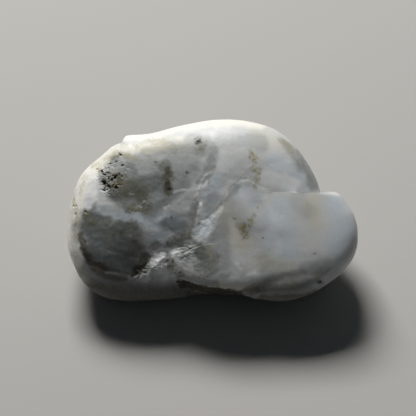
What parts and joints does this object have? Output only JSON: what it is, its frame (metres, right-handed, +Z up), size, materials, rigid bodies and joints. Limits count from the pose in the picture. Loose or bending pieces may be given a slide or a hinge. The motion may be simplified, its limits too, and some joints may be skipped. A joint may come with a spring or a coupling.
{
  "type": "rough quartz stone",
  "caption": "Water-worn lump of milky quartz with a rounded front lobe, a broken diagonal ledge, a pitted patch and a flat worn underside that it rests on.",
  "frame": {"origin": "middle of the bounding box, on the flat that the stone rests on", "axes": "+X along the stone's length, towards the rounded lobe; +Y to the back, away from the display face; +Z up"},
  "size_m": [0.0594, 0.041, 0.0305],
  "materials": {
    "milky_quartz": "water-worn satin, milky, with grey clearer areas and ochre and olive stains"
  },
  "bodies": {
    "root": {"quartz_stone": "milky_quartz"}
  },
  "joints": []
}
